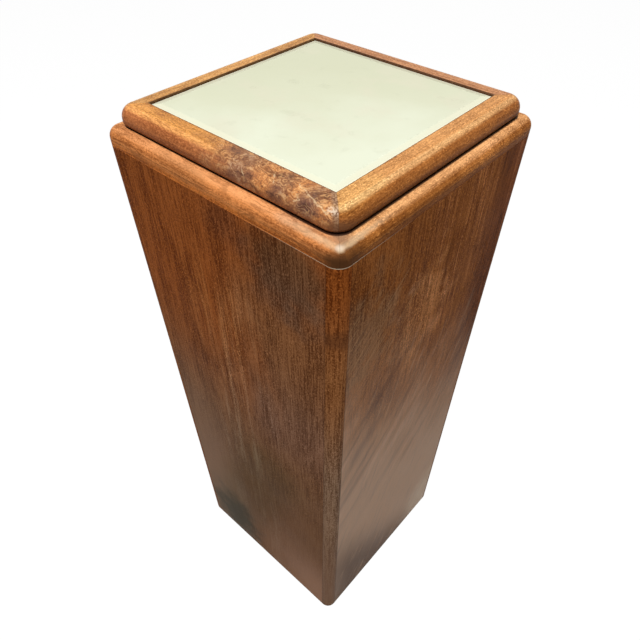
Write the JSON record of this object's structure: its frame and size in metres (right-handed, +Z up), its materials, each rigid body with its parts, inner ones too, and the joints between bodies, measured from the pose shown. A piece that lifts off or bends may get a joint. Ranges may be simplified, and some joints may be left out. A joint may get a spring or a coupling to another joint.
{
  "type": "lighted display pedestal",
  "caption": "Tapered square walnut column with a round-edged rim and a lift-off mitred frame round a bevelled glass top, lit from inside by a lamp on a shelf.",
  "frame": {"origin": "on the floor under the middle of the column", "axes": "+Z up, the front panel faces -Y, the switch and the cord inlet are in the back panel at +Y"},
  "size_m": [0.3044, 0.3044, 0.762],
  "materials": {
    "walnut_frame": "oiled walnut, satin",
    "walnut_rim": "oiled walnut, satin",
    "walnut_post": "oiled walnut, satin",
    "walnut_panel": "walnut veneer, satin lacquer",
    "plain_wood": "planed, unfinished",
    "plywood": "sanded plywood",
    "frosted_glass": "polished face, frosted underside",
    "felt": "pressed felt",
    "clear_rubber": "soft, matte",
    "steel": "zinc plated",
    "nickel": "nickel plated",
    "porcelain": "glazed",
    "brass": "plain, slightly dull",
    "black_glass": "opaque black",
    "bulb_glass": "white frosted inside",
    "phenolic": "moulded, semi-gloss",
    "nylon": "moulded, matte",
    "lead_jacket": "extruded, matte"
  },
  "bodies": {
    "pedestal": {"rim_rail_front": "walnut_rim", "rim_rail_right": "walnut_rim", "rim_rail_back": "walnut_rim", "rim_rail_left": "walnut_rim", "corner_post_front_right": "walnut_post", "corner_post_back_right": "walnut_post", "corner_post_back_left": "walnut_post", "corner_post_front_left": "walnut_post", "panel_front": "walnut_panel", "panel_right": "walnut_panel", "panel_back": "walnut_panel", "panel_left": "walnut_panel", "bottom_batten_front": "plain_wood", "bottom_batten_right": "plain_wood", "bottom_batten_back": "plain_wood", "bottom_batten_left": "plain_wood", "shelf_batten_right": "plain_wood", "shelf_batten_left": "plain_wood", "rim_splines": "plain_wood", "rim_dowels": "plain_wood", "bottom_board": "plywood", "lamp_shelf": "plywood", "bottom_screws": "steel", "shelf_screws": "steel", "lampholder_screws": "steel", "clip_nails": "steel", "glides": "nickel", "switch_ring_nut": "nickel", "lampholder_body": "porcelain", "lampholder_shell": "brass", "lampholder_contact": "brass", "switch_neck": "brass", "switch_can": "phenolic", "cord_inlet_bush": "nylon", "lead_clips": "nylon", "lamp_lead": "lead_jacket"},
    "top_frame": {"top_frame_rail_front": "walnut_frame", "top_frame_rail_right": "walnut_frame", "top_frame_rail_back": "walnut_frame", "top_frame_rail_left": "walnut_frame", "locating_cleat_front": "plain_wood", "locating_cleat_right": "plain_wood", "locating_cleat_back": "plain_wood", "locating_cleat_left": "plain_wood", "top_frame_splines": "plain_wood", "cleat_screws": "steel", "felt_bumpers": "felt", "glass_pads": "clear_rubber"},
    "glass": {"glass_top": "frosted_glass"},
    "bulb_tip": {"bulb_tip_contact": "brass"},
    "bulb": {"bulb_cap": "brass", "bulb_insulator": "black_glass", "bulb_envelope": "bulb_glass", "bulb_filament_mount": "bulb_glass"},
    "switch_knob": {"switch_knob": "phenolic", "switch_shaft": "brass"}
  },
  "joints": [
    {"name": "top_frame_lift", "type": "slide", "parent": "pedestal", "child": "top_frame", "axis": [0, 0, 1], "range_m": [0, 0.15]},
    {"name": "glass_lift", "type": "slide", "parent": "top_frame", "child": "glass", "axis": [0, 0, 1], "range_m": [0, 0.04]},
    {"name": "bulb_rise", "type": "slide", "parent": "pedestal", "child": "bulb_tip", "axis": [0, 0, 1], "range_m": [0, 0.0109]},
    {"name": "bulb_turn", "type": "hinge", "parent": "bulb_tip", "child": "bulb", "pos_m": [0, 0, 0.5493], "axis": [0, 0, 1], "range_deg": [0, 1080]},
    {"name": "switch_turn", "type": "hinge", "parent": "pedestal", "child": "switch_knob", "pos_m": [0, 0.14188, 0.115], "axis": [0, 0.9999, -0.0168], "continuous": true}
  ],
  "couplings": [
    {"joint": "bulb_rise", "follows": "bulb_turn", "m_per_rad": 0.00057773}
  ]
}
